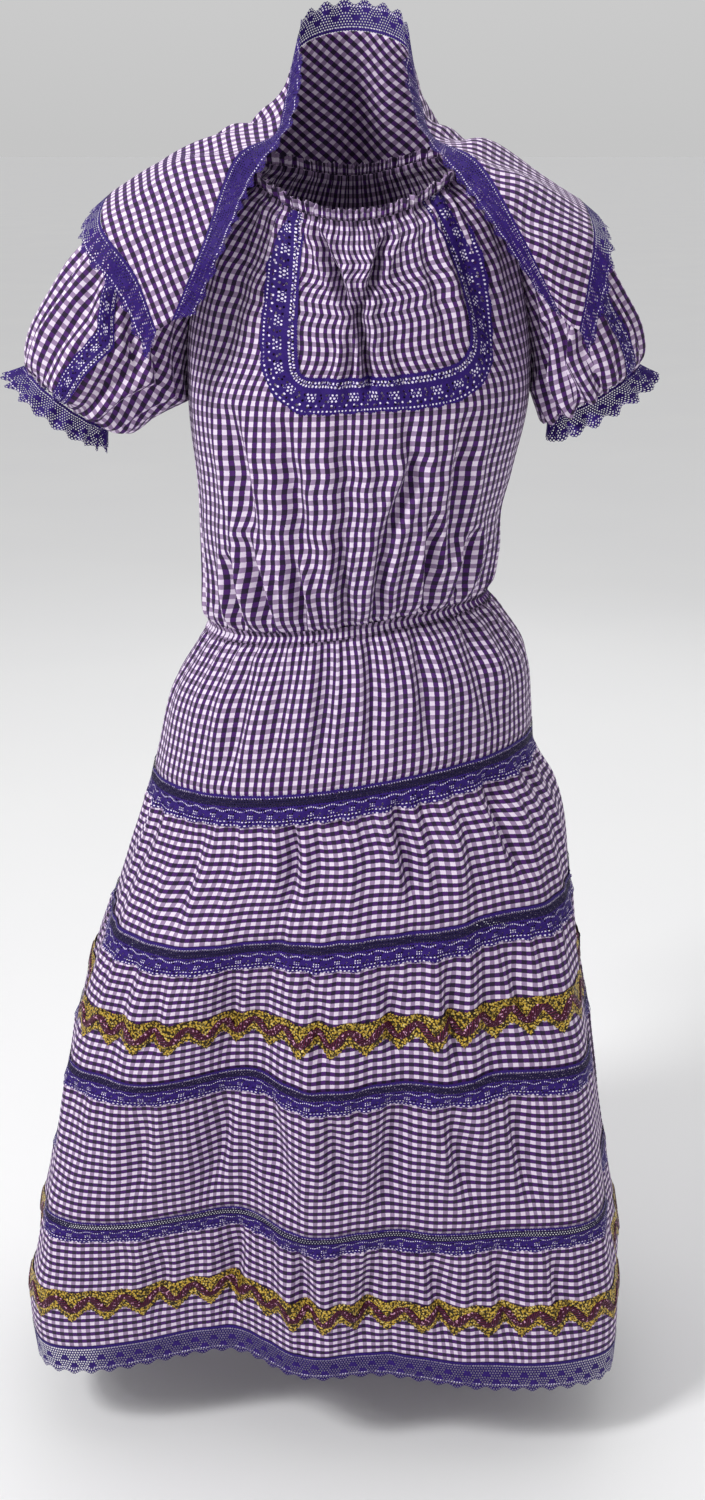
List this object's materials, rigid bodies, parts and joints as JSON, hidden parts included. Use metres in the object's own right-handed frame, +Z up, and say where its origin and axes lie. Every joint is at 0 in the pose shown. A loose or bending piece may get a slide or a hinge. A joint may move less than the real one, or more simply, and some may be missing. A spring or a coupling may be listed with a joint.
{
  "type": "santeria dress",
  "caption": "Peasant dress with puff sleeves, a bodice gathered at neck and waist, a tiered flared skirt with lace and braid bands, and a lace-edged three-cornered shawl.",
  "frame": {"origin": "centre of the neckline, level with the top of the shoulders, where the wearer's shoulders hold the dress", "axes": "+Z up along the body, front of the dress faces -Y, +X to the right of someone who looks at the front"},
  "size_m": [0.6582, 0.4067, 1.351],
  "materials": {
    "gingham": "woven cotton gingham, purple and white checks",
    "lace": "blue-violet net lace with a scalloped edge",
    "gold": "metallic gold braid with a maroon zigzag cord"
  },
  "bodies": {
    "root": {"bodice_front": "gingham", "bodice_back": "gingham", "sleeve_left": "gingham", "sleeve_right": "gingham", "neck_ruffle": "gingham", "waist_casing": "gingham", "hip_yoke_front": "gingham", "hip_yoke_back": "gingham", "tier_1_front": "gingham", "tier_1_back": "gingham", "tier_2_front": "gingham", "tier_2_back": "gingham", "tier_3_front": "gingham", "tier_3_back": "gingham", "tier_4_front": "gingham", "tier_4_back": "gingham", "shawl": "gingham", "bib_lace": "lace", "sleeve_lace_left": "lace", "cuff_frill_left": "lace", "sleeve_lace_right": "lace", "cuff_frill_right": "lace", "hip_lace_front": "lace", "hip_lace_back": "lace", "thigh_lace_front": "lace", "thigh_lace_back": "lace", "knee_lace_front": "lace", "knee_lace_back": "lace", "calf_lace_front": "lace", "calf_lace_back": "lace", "hem_lace_front": "lace", "hem_lace_back": "lace", "shawl_lace_neck": "lace", "shawl_lace_left": "lace", "shawl_lace_right": "lace", "upper_gold_trim_front": "gold", "upper_gold_trim_back": "gold", "lower_gold_trim_front": "gold", "lower_gold_trim_back": "gold"}
  },
  "joints": []
}
